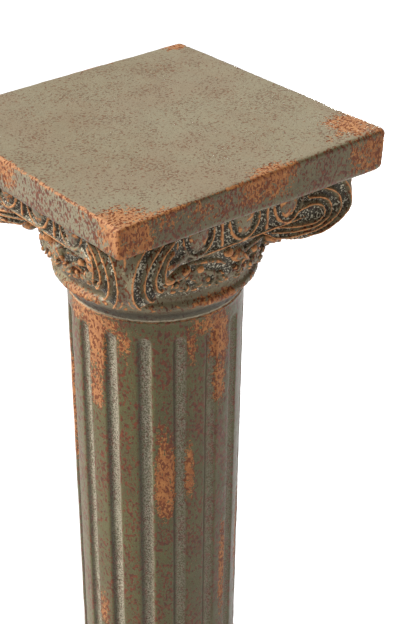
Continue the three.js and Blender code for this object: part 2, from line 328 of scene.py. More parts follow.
def scroll_body(slumped):
    """The solid part of a corner scroll, from columns joined straight across the corner."""
    rings = []
    for x, down in scroll_foot(slumped):
        face = float(horn_face(x))
        low = LEVEL - down
        high = LEVEL - SLAB_THICK + 5
        shares = np.linspace(0, 1, 7)
        across = [(x + (face - x) * t, face + (x - face) * t) for t in shares]
        hollow = [max(face - x, 0) * 0.14 * t * (1 - t) for t in shares]
        rise = [1.5 if 0 < t < 1 else 0 for t in shares]
        under = [(a - h, -(b - h), low + r) for (a, b), h, r in zip(across, hollow, rise)]
        over = [(a, -b, high) for a, b in reversed(across)]
        rings.append(under + over)
    return drawn("scroll_body", rings)


def rib_path(rib):
    path = []
    bottom = CURL_DOWN + rib["down"]
    if rib["stem"]:
        x0, d0 = rib["stem"]
        for t in np.linspace(0, 1, 10)[:-1]:
            ease = t * t * (3 - 2 * t)
            path.append((x0 + (CURL_ACROSS - x0) * t, d0 + (bottom - d0) * ease))
    steps = 34
    for i in range(steps + 1):
        turn = math.radians(i / steps * (90 + rib["climb"]) - 90)
        rise = math.sin(turn)
        reach = rib["down"] if rise < 0 else rib["up"]
        path.append((CURL_ACROSS + rib["out"] * math.cos(turn), CURL_DOWN - rise * reach))
    return path


def scroll_face(hand, slumped):
    """The ribs on one face of a scroll, at the right (1) or the left (-1) end of a side."""
    if slumped:
        paths = [smoothed(knots, 5) for knots in SLUMPED_RIBS]
    else:
        paths = [rib_path(rib) for rib in RIBS]
    pieces = []
    for path in paths:
        line = [(hand * x, down) for x, down in path]
        pieces.append(ridge("rib", line, RIB_HALF, RIB_RELIEF, horn_face, ends=(0.5, 0.7)))
        pieces.append(ridge("rib_foot", line, RIB_FOOT_HALF, RIB_FOOT_RELIEF, horn_face, ends=(0.5, 0.7)))
    if slumped:
        stem = [(hand * x, down) for x, down in ((87, 66), (78, 66), (68, 64), (58, 63), (48, 64))]
        pieces.append(ridge("scroll_stem", stem, 5.5, 6.5, lambda x: horn_face(x) - 3.0, ends=(0.8, 0.5)))
    return pieces


def horseshoe(x, half_width, half_height, middle_down):
    steps = 24
    path = [(x - half_width, SLAB_THICK - 4)]
    for i in range(steps + 1):
        turn = i / steps * math.pi
        path.append((x - half_width * math.cos(turn), middle_down + half_height * math.sin(turn)))
    path.append((x + half_width, SLAB_THICK - 4))
    return path


def egg_and_dart():
    pieces = []
    for place in (-1, 0, 1):
        x = place * EGG_PITCH
        pieces.append(lump("egg", (x, -BAND_HALF + 0.5, LEVEL - 44), (12.3, 6.2, 21), segments=32))
        pieces.append(ridge("egg_frame", horseshoe(x, 17.2, 21.2, 45.5), 2.1, 4.0, band_face))
    for place in (-0.5, 0.5):
        x = place * EGG_PITCH
        line = [(x, 30), (x, 45), (x, 58), (x, 65), (x, 69)]
        pieces.append(ridge("dart", line, 2.4, 4.0, band_face, ends=(1, 0.35)))
    for hand in (-1, 1):
        x = hand * (EGG_PITCH + 23.5)
        pieces.append(ridge("end_bead", [(x, 30), (x, 50), (x, 69)], 2.2, 3.6, band_face))
    lip = [(x, BAND_FOOT_DOWN - 1.5) for x in np.linspace(-82, 82, 30)]
    pieces.append(ridge("band_lip", lip, 1.5, 3.4, band_face, ends=(1, 1)))
    return pieces


def bell_radius(down):
    return np.interp(down, *zip(*BELL_KNOTS))


def vine(name, path, half_width, lift, ends=(0.4, 0.4)):
    """A round stem that lies on the bell along (degrees from the side's middle, down)."""
    places = []
    for turn, down in smoothed(path, 5):
        r = float(bell_radius(down)) + lift
        side = math.radians(turn)
        places.append((r * math.sin(side), -r * math.cos(side), LEVEL - down))
    return rod(name, places, half_width, ends, 0.3, 2)


def leaf_spray(turn, down, size, lean, lobes):
    """A small leaf: rounded lobes that fan out along a curved midrib, lying on the bell."""
    pieces = []
    slope = math.radians(lean)
    for i in range(lobes):
        share = i / (lobes - 1)
        reach = size * (share - 0.5)
        bow = size * 0.22 * (1 - (2 * share - 1) ** 2)
        across = reach * math.sin(slope) + bow * math.cos(slope)
        up = reach * math.cos(slope) - bow * math.sin(slope)
        r = float(bell_radius(down - up)) + 1.2
        girth = size * (0.2 + 0.1 * math.sin(share * math.pi))
        for hand in (-1, 1):
            side = lean + hand * (52 - 18 * share)
            dx = hand * girth * 0.62 * math.cos(slope)
            dz = -hand * girth * 0.62 * math.sin(slope)
            half = (girth * 0.34, 3.6, girth * 0.72)
            pieces.append(on_bell("leaf_lobe", turn, across + dx, down - up - dz, r, half, lean=side))
        half = (girth * 0.24, 3.4, girth * 0.55)
        pieces.append(on_bell("leaf_rib", turn, across, down - up, r + 0.8, half, lean=lean))
    return pieces


def foliage():
    """The leaves, curled stems and buds under the egg band of one side."""
    pieces = []
    # the middle leaf, tipped over at the top, with a bud on its crown
    pieces.append(on_bell("middle_leaf", 3, 0, 90, 113, (8.5, 5.0, 8.5), lean=-38, tip=-18))
    pieces.append(on_bell("middle_leaf_fold", 5, 0, 92, 115.5, (2.6, 4.2, 9.5), lean=-42, tip=-15))
    pieces.append(on_bell("middle_bud", -3.5, 0, 84, 116.5, (5.0, 4.6, 4.2)))
    for hand in (-1, 1):
        stem = [(hand * 2, 100), (hand * 8, 92), (hand * 16, 89), (hand * 24, 90)]
        pieces.append(vine("upper_stem", stem, 2.2, 1.6))
        stem = [(hand * 3, 114), (hand * 8, 106), (hand * 14, 101), (hand * 21, 99.5), (hand * 27, 101)]
        pieces.append(vine("lower_stem", stem, 1.9, 1.2))
        turns = np.linspace(-0.6, 4.6, 9)
        curl = [(hand * (11.5 + 3.9 * math.cos(a)), 111 - 6.6 * math.sin(a)) for a in turns]
        pieces.append(vine("curl", curl, 1.7, 1.6, ends=(0.5, 0.9)))
        pieces.append(on_bell("curl_bud", hand * 11.5, 0, 111.5, 107.5, (2.6, 2.6, 2.8)))
        for turn, down, size, lean, lobes in LEAVES:
            pieces += leaf_spray(hand * turn, down, size, hand * lean, lobes)
        pieces.append(on_bell("side_bud", hand * 16.5, 0, 97, 110.5, (4.4, 4.4, 4.0)))
        pieces.append(on_bell("side_bud", hand * 23, 0, 105, 108.5, (3.0, 3.2, 3.0)))
        # the leaf that hangs under the scroll
        pieces.append(on_bell("scroll_leaf", hand * 27, 0, 94, 118, (11, 7.5, 5.2), hand * 28, 12))
        pieces.append(on_bell("scroll_leaf_tip", hand * 31, 0, 98, 120, (7, 6.5, 3.8), hand * 40, 18))
    for i, turn in enumerate(range(-42, 45, 6)):
        turn += i % 3 - 1
        down = 119.5 - i % 2 * 1.5
        pieces.append(on_bell("leaf_foot", turn, 0, down, 104.8, (3.6, 2.8, 2.6), lean=i % 4 * 22 - 33))
    return pieces


def copied_round(piece, turns):
    copies = [piece]
    for turn in turns:
        take(piece)
        bpy.ops.object.duplicate()
        copy = bpy.context.object
        copy.rotation_euler = (0, 0, math.radians(turn))
        copies.append(settle(copy))
    return copies


def weathered(piece, size, depth, octaves=2):
    """Sinks and raises the surface by about half a depth, in soft lumps of a size."""
    texture = bpy.data.textures.new(f"{piece.name}_{size:g}", "CLOUDS")
    texture.noise_scale = size * MM
    texture.noise_depth = octaves
    return modify(
        piece,
        "DISPLACE",
        texture=texture,
        texture_coords="LOCAL",
        direction="NORMAL",
        strength=depth * MM,
        mid_level=0.55,
    )


def remeshed(piece, voxel, smooth):
    """One skin round all that overlaps, with its steps smoothed a number of times."""
    size = voxel * MM * 1
    modify(piece, "REMESH", mode="VOXEL", voxel_size=size, use_smooth_shade=True)
    return modify(piece, "SMOOTH", factor=0.5, iterations=smooth)


def thinned(piece, triangles):
    piece.data.calc_loop_triangles()
    count = len(piece.data.loop_triangles)
    if count > triangles:
        modify(piece, "DECIMATE", ratio=triangles / count)
    return piece


def held_below(values, limit):
    """Values that come ever closer to a limit without passing it."""
    return np.where(values > limit - 1, limit - 1 + np.tanh(values - limit + 1), values)


def slab():
    # the casting's corners aren't level: highest and thickest at the right, thinnest at the front
    upper = {(-1, -1): -7.0, (1, -1): 0.6, (-1, 1): -7.8, (1, 1): -2.0}
    lower = {(-1, -1): -31.8, (1, -1): -38.2, (-1, 1): -38.6, (1, 1): -36.0}

    def level(heights, x, y):
        u = (x / SLAB_HALF + 1) / 2
        v = (y / SLAB_HALF + 1) / 2
        low = heights[-1, -1] * (1 - u) + heights[1, -1] * u
        high = heights[-1, 1] * (1 - u) + heights[1, 1] * u
        return low * (1 - v) + high * v

    # the lower and the upper arris: height, dip at each corner, rounding, how much rounder it is at
    # the right corner, and whether it curves up or down from its edge
    arrises = ((LEVEL, lower, 3.6, 5.0, 1), (SOLID_HEIGHT, upper, 2.6, 2.6, -1))
    rings = []
    for edge, heights, rounding, more, side in arrises:
        turned_edge = []
        for share in np.linspace(0, 1, 6) * math.pi / 2:
            ring = []
            for x, y, _ in rounded_square(SLAB_HALF, CORNER_ROUND, 0):
                towards_right = max(0, (x - y) / (2 * SLAB_HALF) * 4 - 3)
                size = rounding + more * towards_right
                shrunk = 1 - size * (1 - math.sin(share)) / SLAB_HALF
                rise = size * (1 - math.cos(share))
                ring.append((x * shrunk, y * shrunk, edge + level(heights, x, y) + side * rise))
            turned_edge.append(ring)
        rings += turned_edge[::side]
    piece = drawn("slab", rings)
    remeshed(piece, 1.5, 2)
    weathered(piece, 55, 1.8)
    weathered(piece, 12, 0.45)
    weathered(piece, 2.5, 0.15)
    at = points_of(piece)
    at[:, :2] = np.sign(at[:, :2]) * held_below(np.abs(at[:, :2]) / MM, SOLID_HALF) * MM
    at[:, 2] = held_below(at[:, 2] / MM, SOLID_HEIGHT) * MM
    put_points(piece, at)
    return thinned(piece, 140000)


def scrolls():
    """The egg band and the four corner scrolls, each side built for the corners at its two ends."""
    sides = []
    for turn in (0, 90, 180, 270):
        pieces = egg_and_dart() + scroll_face(-1, turn == 0) + scroll_face(1, turn == 270)
        body = scroll_body(turn == 270)
        side = joined("one_side", pieces + [body])
        side.rotation_euler = (0, 0, math.radians(turn))
        sides.append(settle(side))
    low = LEVEL - BAND_FOOT_DOWN
    band = drawn(
        "band",
        [
            rounded_square(BAND_HALF + further, BAND_CORNER, z)
            for further, z in (
                (-9, low - 1),
                (-1.6, low - 0.6),
                (1.4, low + 1.0),
                (1.8, low + 2.8),
                (0, low + 4.6),
                (0, LEVEL - SLAB_THICK + 6),
            )
        ],
    )
    piece = joined("scrolls", sides + [band])
    remeshed(piece, 0.86, 1)
    weathered(piece, 8, 0.9)
    weathered(piece, 2.4, 0.5)
    return thinned(piece, 196000)


def bell():
    """The turned neck and bell with the foliage that lies on it."""
    groove = LEVEL - GROOVE_DOWN
    foot_downs = ((87.9, 158.4), (89.1, 155.8), (91.8, 152.5), (95.0, 149), (96.4, 146.4))
    foot_knots = [(87.3, groove + 1.4)] + [(r, LEVEL - down) for r, down in foot_downs]
    ring_downs = ((97.4, 145.8), (99.9, 144), (100.7, 141.2), (99.9, 138.4), (97.6, 136.8))
    ring_knots = [(r, LEVEL - down) for r, down in ring_downs]
    bell_knots = [(96.4, LEVEL - 136)] + [(r, LEVEL - down) for down, r in reversed(BELL_KNOTS)]
    profile = [(80, groove - 5), (86.2, groove - 3), (86.9, groove + 0.3)]
    for knots in (foot_knots, ring_knots, bell_knots):
        profile += smoothed(knots, 4)
    neck = turned("neck", profile, sides=192)
    one_side = joined("one_side", foliage())
    piece = joined("bell", copied_round(one_side, (90, 180, 270)) + [neck])
    remeshed(piece, 0.9, 1)
    weathered(piece, 5, 1.5, octaves=3)
    weathered(piece, 2.2, 0.6)
    return thinned(piece, 170000)


def flute_cutters():
    """Rounded bars that hollow the flutes, standing round the shaft."""
    bore = (FLUTE_WIDTH**2 / 4 + FLUTE_DEPTH**2) / (2 * FLUTE_DEPTH)
    reach = SHAFT_R - FLUTE_DEPTH + bore
    half = FLUTE_WIDTH / 2
    top = LEVEL - FLUTE_TOP_DOWN - half
    low = FLUTE_FOOT + half
    deselect()
    bpy.ops.mesh.primitive_uv_sphere_add(segments=32, ring_count=16, radius=bore * MM, location=(0, 0, 0))
    cutter = bpy.context.object
    cutter.name = "flute_cutter"
    at = points_of(cutter)
    upper = at[:, 2] > 1e-6
    at[:, 2] += np.where(upper, top, low) * MM
    at[:, 0] += reach * MM
    put_points(cutter, at)
    return copied_round(cutter, [i * 360 / FLUTES for i in range(1, FLUTES)])


def shaft():
    neck = LEVEL - GROOVE_DOWN
    steps = ((0, 4.5), (0.8, 2.6), (0.7, 1.0), (-0.4, 0.1), (-4, 0))
    lip = [(SHAFT_R + further, neck - down) for further, down in steps]
    body = turned("shaft", [(SHAFT_R, z) for z in np.linspace(76, neck - 10, 12)] + lip, sides=256)
    cutters = joined("flute_cutters", flute_cutters())
    cutters.rotation_euler = (0, 0, math.radians(FLUTE_TURN))
    settle(cutters)
    modify(body, "BOOLEAN", operation="DIFFERENCE", object=cutters, solver="EXACT")
    bpy.data.objects.remove(cutters)
    remeshed(body, 1.6, 1)
    weathered(body, 34, 1.0)
    weathered(body, 5, 0.4)
    return thinned(body, 190000)


def foot():
    low = PLINTH_HEIGHT
    profile = [(95, low - 5), (115, low - 4)]
    profile += roll(126, low, 20)
    cove = ((111, 21.2), (105.8, 23.5), (104, 26.5), (105, 29.6), (106.8, 31.2))
    profile += smoothed([(r, low + z) for r, z in cove], 4)
    profile += roll(110, low + 32, 11)
    profile += [(98.4, low + 43.4), (98, low + 44.4), (98, low + 46.4)]
    sweep = ((97, 47.6), (92, 50.6), (88.6, 56), (87.4, 62))
    profile += smoothed([(r, low + z) for r, z in sweep], 4)
    mouldings = turned("mouldings", profile)
    plinth = drawn(
        "plinth",
        [
            rounded_square(PLINTH_HALF - inset, PLINTH_CORNER, z)
            for inset, z in ((1.2, 0.2), (0, 1.4), (0, low - 3), (0.9, low - 0.9), (3, low))
        ],
    )
    piece = joined("foot", [mouldings, plinth])
    remeshed(piece, 1.7, 2)
    weathered(piece, 40, 1.4)
    weathered(piece, 8, 0.6)
    at = points_of(piece)
    at[:, 2] = np.maximum(at[:, 2], 0.0)
    put_points(piece, at)
    return thinned(piece, 120000)


def blurred(values, edges, counts, times):
    """Values on a mesh's points, each drawn towards the mean of its neighbours a number of times."""
    a, b = edges
    for _ in range(times):
        total = np.empty_like(values)
        for k in range(values.shape[1]):
            column = values[:, k]
            total[:, k] = np.bincount(a, column[b], len(column)) + np.bincount(b, column[a], len(column))
        values = 0.5 * values + 0.5 * total / counts[:, None]
    return values


def store(piece, name, values):
    layer = piece.data.attributes.new(name, "FLOAT", "POINT")
    layer.data.foreach_set("value", np.clip(values, 0, 1).astype(np.float32))


def soft_step(low, high, values):
    t = np.clip((values - low) / (high - low), 0, 1)
    return t * t * (3 - 2 * t)


def patched(at, patches):
    """How far the patches reach at each point: their strength in the middle, 0 beyond the rim."""
    worn = np.zeros(len(at))
    for strength, middle, half in patches:
        away = (np.abs((at - np.array(middle)) / np.array(half)) ** 3).sum(axis=1) ** (1 / 3)
        worn = np.maximum(worn, strength * (1 - soft_step(0.25, 1.2, away)))
    return worn


def on_shaft(strength, turn, z, half_turn, half_height):
    """A worn patch on the shaft, by its angle from +X."""
    r = math.radians(turn)
    wide = SHAFT_R * math.radians(half_turn)
    c, s = math.cos(r), math.sin(r)
    half = (abs(s) * wide + abs(c) * 5 + 1, abs(c) * wide + abs(s) * 5 + 1, half_height)
    return (strength, (SHAFT_R * c, SHAFT_R * s, z), half)


# The way that the palest faces look, towards the key light: they are painted paler, which is painted
# light with some sun fading;
# and how often a surface is blurred to find its crests and its hollows
LIT_AND_BLEACHED_SIDE = (-0.60, 0.12, 0.79)
NEAR_TIMES = 8
WIDE_TIMES = 60
# Worn patches: how bare each is, its middle and how far it reaches along each axis
SLAB_WEAR = (
    (0.9, (-140, -140, 752), (38, 36, 14)),
    (0.9, (-116, -148, 757), (30, 12, 8)),
    (0.9, (-150, -138, 742), (10, 26, 24)),
    (0.35, (-150, -100, 746), (8, 22, 12)),
    (0.85, (-132, -150, 738), (26, 10, 26)),
    (0.6, (-104, -150, 746), (22, 8, 14)),
    (0.95, (8, -150, 752), (48, 8, 14)),
    (0.75, (6, -150, 742), (44, 8, 18)),
    (0.55, (-60, -150, 742), (40, 8, 16)),
    (0.75, (14, -144, 757), (26, 12, 5)),
    (0.95, (130, -124, 757), (30, 36, 8)),
    (0.6, (112, -136, 757), (30, 14, 6)),
    (0.8, (132, -150, 740), (38, 8, 26)),
    (1.0, (138, 144, 757), (22, 14, 10)),
    (0.8, (-150, 16, 742), (8, 22, 20)),
    (0.35, (-150, -60, 752), (6, 46, 6)),
    (0.8, (150, 62, 742), (8, 32, 20)),
    (0.75, (-128, 146, 750), (30, 12, 18)),
    (0.8, (40, 150, 748), (40, 8, 14)),
    (0.7, (150, -96, 736), (8, 22, 14)),
    (0.6, (-150, 128, 738), (8, 24, 16)),
)
SHAFT_WEAR = (
    on_shaft(1.0, -168, 562, 9, 54),
    on_shaft(0.8, -169, 502, 7, 30),
    on_shaft(0.8, 176, 584, 20, 20),
    on_shaft(0.75, -158, 584, 10, 14),
    on_shaft(0.65, -148, 566, 5, 26),
    on_shaft(0.95, -83, 562, 11, 40),
    on_shaft(0.85, -82, 512, 6.5, 40),
    on_shaft(0.75, -96, 580, 16, 17),
    on_shaft(0.7, -104, 560, 4, 26),
    on_shaft(1.1, -121.8, 404, 7.8, 64),
    on_shaft(0.55, -123.5, 462, 5, 22),
    on_shaft(0.85, -105.4, 412, 3.2, 46),
    on_shaft(0.9, -76, 255, 4, 90),
    on_shaft(1.15, -48, 278, 8, 100),
    on_shaft(1.15, 148, 455, 8, 110),
    on_shaft(0.8, 157, 400, 3, 60),
    on_shaft(0.9, 62, 500, 9, 60),
    on_shaft(0.8, 20, 580, 18, 22),
    on_shaft(0.9, 101, 330, 6, 70),
    on_shaft(0.8, -12, 420, 5, 50),
    on_shaft(0.7, 124, 560, 12, 30),
    on_shaft(0.8, 33, 220, 6, 50),
    on_shaft(0.7, -170, 210, 6, 40),
)
BELL_WEAR = (
    (0.85, (-99, -14, 616), (18, 34, 8)),
    (0.85, (-4, -100, 615), (40, 14, 9)),
    (0.7, (20, -96, 606), (22, 14, 8)),
    (0.8, (-88, 10, 604), (12, 26, 8)),
    (0.8, (-116, 6, 668), (12, 16, 10)),
    (0.6, (6, -116, 666), (12, 14, 10)),
    (0.6, (-108, -10, 645), (12, 30, 10)),
    (0.8, (100, 10, 616), (14, 30, 8)),
    (0.8, (0, 100, 616), (34, 14, 8)),
    (0.85, (116, 6, 668), (12, 16, 10)),
    (0.85, (6, 116, 668), (14, 12, 10)),
)
# The stems of the front scroll keep some of their paint
STEM_KEPT = ((0.85, (-66, -120, LEVEL - 66), (28, 24, 15)), (0.6, (-120, -66, LEVEL - 66), (24, 28, 15)))
# A band of painted shade lies under the neck's ring: its height, how far it reaches and how dark it is
RING_SHADE = (LEVEL - 154.5, 9.5, 1.0)
FOOT_WEAR = (
    (0.9, (-128, -128, 14), (30, 30, 18)),
    (0.8, (130, -116, 14), (24, 34, 14)),
    (0.8, (-20, -124, 32), (40, 14, 12)),
    (0.8, (-125, 30, 32), (14, 46, 12)),
    (0.85, (128, 128, 14), (26, 30, 16)),
    (0.7, (104, 40, 58), (20, 40, 10)),
    (0.7, (-60, -92, 58), (40, 26, 10)),
    (0.8, (60, 130, 12), (44, 12, 12)),
)


def flute_marks(at):
    """Pale frost on the floors of the flutes, laid on thicker where they are lit, which is partly painted
    light, and painted shade along their shaded sides.
    """
    sunk = SHAFT_R - np.hypot(at[:, 0], at[:, 1])
    turn = np.degrees(np.arctan2(at[:, 1], at[:, 0]))
    pitch = 360 / FLUTES
    aside = (turn - FLUTE_TURN + pitch / 2) % pitch - pitch / 2
    aside = aside / pitch * 2 * math.pi * SHAFT_R / FLUTES / (FLUTE_WIDTH / 2)
    below = at[:, 2] < LEVEL - FLUTE_TOP_DOWN + 2
    # frost lies thicker on the flutes turned to the key light and on each flute's lit wall: painted light
    lit = 0.25 + 0.75 * np.maximum(np.cos(np.radians(turn + 172)), 0) ** 2
    frost_and_light = soft_step(0.5, 2.2, sunk) * lit * below * (0.15 + 0.85 * soft_step(-0.7, 0.0, aside))
    # painted shade along each flute's shaded wall
    painted_shade = 0.75 * below * soft_step(0.4, 1.8, sunk) * (1 - soft_step(-0.85, -0.15, aside))
    return frost_and_light, painted_shade


def weigh_surface(
    piece, wear, crest, hollow, flutes=False, hollows_above=0.0, carved=False, painted_shade=None, kept=()
):
    """Stores where the surface stands proud, where it is hollow and where the paint is gone."""
    mesh = piece.data
    at = points_of(piece) / MM
    normal = np.empty(len(mesh.vertices) * 3)
    mesh.vertices.foreach_get("normal", normal)
    normal = normal.reshape(-1, 3)
    edges = np.empty(len(mesh.edges) * 2, dtype=np.int64)
    mesh.edges.foreach_get("vertices", edges)
    edges = (edges[::2], edges[1::2])
    counts = sum(np.bincount(ends, minlength=len(at)) for ends in edges)
    counts = np.maximum(counts, 1)
    near = blurred(at, edges, counts, NEAR_TIMES)
    wide = blurred(near, edges, counts, WIDE_TIMES)
    proud = ((at - near) * normal).sum(axis=1)
    deep = -((near - wide) * normal).sum(axis=1)
    proud = blurred(proud[:, None], edges, counts, 1)[:, 0]
    # what is hollow is later darkened, as grime with painted shade; where carved, so is the ground
    # between a scroll's ribs
    sunken = soft_step(*hollow, deep) * soft_step(hollows_above - 8, hollows_above + 4, at[:, 2])
    if carved:
        across, out = np.sort(np.abs(at[:, :2]), axis=1).T
        ground = np.where(at[:, 2] > LEVEL - BAND_FOOT_DOWN, BAND_HALF, 0)
        raised = out - np.maximum(horn_face(across), ground)
        floor = (1 - soft_step(1.2, 3.6, raised)) * (1 - soft_step(114, 124, across))
        upright = soft_step(0.1, 0.5, np.hypot(normal[:, 0], normal[:, 1]))
        sunken = np.maximum(sunken, floor * upright)
    frost_and_light = np.zeros(len(at))
    shade_amount = np.zeros(len(at))
    if flutes:
        frost_and_light, shade_amount = flute_marks(at)
    # a band of painted shade round the piece, where one is given
    if painted_shade:
        middle, half, strength = painted_shade
        shade_amount = strength * np.exp(-(((at[:, 2] - middle) / half) ** 2))
    store(piece, "crest", soft_step(*crest, proud) * (1 - patched(at, kept)))
    store(piece, "hollow", sunken)
    store(piece, "worn", patched(at, wear))
    store(piece, "frost_and_light", frost_and_light)
    # paler on the faces turned towards the key light: painted light, with some sun fading
    store(piece, "lit_and_faded", soft_step(0.35, 0.8, normal @ np.array(LIT_AND_BLEACHED_SIDE)))
    store(piece, "lying", soft_step(0.75, 0.95, normal[:, 2]) * (at[:, 2] > LEVEL - 20))
    # the groove under the neck, where a pale line is painted as a highlight
    store(piece, "seam", np.exp(-(((at[:, 2] - LEVEL + GROOVE_DOWN) / 1.3) ** 2)))
    store(piece, "painted_shade", shade_amount)


class Amount:
    """A number that varies over the surface and can be added, multiplied and compared."""

    def __init__(self, bench, socket):
        self.bench = bench
        self.socket = socket

    def math(self, operation, *others):
        values = dict(enumerate((self,) + others))
        node = self.bench.node("ShaderNodeMath", {"operation": operation}, values)
        return Amount(self.bench, node.outputs[0])

    def __add__(self, other):
        return self.math("ADD", other)

    def __radd__(self, other):
        return self.math("ADD", other)

    def __mul__(self, other):
        return self.math("MULTIPLY", other)

    def __rmul__(self, other):
        return self.math("MULTIPLY", other)

    def __sub__(self, other):
        return self.math("SUBTRACT", other)

    def __rsub__(self, other):
        return (self * -1).math("ADD", other)

    def either(self, other):
        return self.math("MAXIMUM", other)

    def held(self):
        """Kept between 0 and 1."""
        return self.math("MAXIMUM", 0.0).math("MINIMUM", 1.0)

    def step(self, low, high):
        """0 below low, 1 above high, and soft in between."""
        settings = {"interpolation_type": "SMOOTHSTEP"}
        values = {"Value": self, "From Min": low, "From Max": high}
        node = self.bench.node("ShaderNodeMapRange", settings, values)
        return Amount(self.bench, node.outputs["Result"])


class Bench:
    """The nodes of one finish."""

    def __init__(self, name):
        self.material = bpy.data.materials.new(name)
        self.material.use_nodes = True
        self.tree = self.material.node_tree
        self.shader = self.tree.nodes["Principled BSDF"]
        place = self.node("ShaderNodeTexCoord").outputs["Object"]
        scaled = self.node("ShaderNodeVectorMath", {"operation": "SCALE"}, {0: place, "Scale": 1 / MM})
        self.mm = scaled.outputs[0]

    def node(self, kind, settings=None, values=None):
        node = self.tree.nodes.new(kind)
        for name, value in (settings or {}).items():
            setattr(node, name, value)
        for key, value in (values or {}).items():
            self.put(node.inputs[key], value)
        return node

    def put(self, socket, value):
        if isinstance(value, Amount):
            value = value.socket
        if isinstance(value, bpy.types.NodeSocket):
            self.tree.links.new(value, socket)
        else:
            socket.default_value = value

    def stored(self, name):
        return Amount(self, self.node("ShaderNodeAttribute", {"attribute_name": name}).outputs["Fac"])

    def noise(self, size, detail=2.0, roughness=0.5, stretch=None, turn=(0, 0, 0), shift=0.0):
        """Cloudy noise from 0 to 1 whose lumps are about a size in millimetres."""
        place = self.mm
        if stretch or shift or any(turn):
            moved = (shift, shift * 0.7, -shift)
            values = {"Vector": place, "Location": moved, "Rotation": turn, "Scale": stretch or (1, 1, 1)}
            place = self.node("ShaderNodeMapping", {"vector_type": "POINT"}, values).outputs[0]
        values = {"Vector": place, "Scale": 1.0 / size, "Detail": detail, "Roughness": roughness}
        node = self.node("ShaderNodeTexNoise", {"noise_dimensions": "3D"}, values)
        return Amount(self, node.outputs["Fac"])

    def mix(self, share, under, over):
        """One colour laid over another by a share."""
        settings = {"data_type": "RGBA", "clamp_factor": True}
        return self.node("ShaderNodeMix", settings, {0: share, 6: under, 7: over}).outputs[2]


def tone(red, green, blue):
    """A colour from its usual 0 to 255 numbers."""
    def straight(c):
        c /= 255
        return c / 12.92 if c <= 0.04045 else ((c + 0.055) / 1.055) ** 2.4

    return (straight(red), straight(green), straight(blue), 1.0)


BLUSH = tone(140, 120, 98)
DARK_GRAIN = tone(46, 42, 28)
PALE_GRAIN = tone(150, 138, 108)
FLAKE_DARK = tone(74, 32, 8)
FLAKE_LIGHT = tone(112, 50, 18)
# the colour of grime and painted shade in the hollows
GRIME_AND_SHADE = tone(28, 24, 16)
STIPPLE = tone(232, 222, 194)
FLUTE_DUST = tone(98, 90, 72)
FLUTE_FROST = tone(186, 176, 154)
TERRACOTTA = (tone(177, 116, 62), tone(149, 87, 43), tone(104, 49, 20))
TERRACOTTA_LIT_AND_FADED = tone(190, 146, 108)
CHIP_RIM = tone(86, 40, 20)
# the colour of the painted highlights on the crests
CREST_HIGHLIGHT = tone(234, 170, 112)
# the colour of the painted highlight along the groove under the neck
SEAM_HIGHLIGHT = tone(178, 166, 140)
MARKS = ("crest", "hollow", "worn", "frost_and_light", "lit_and_faded", "lying", "seam", "painted_shade")


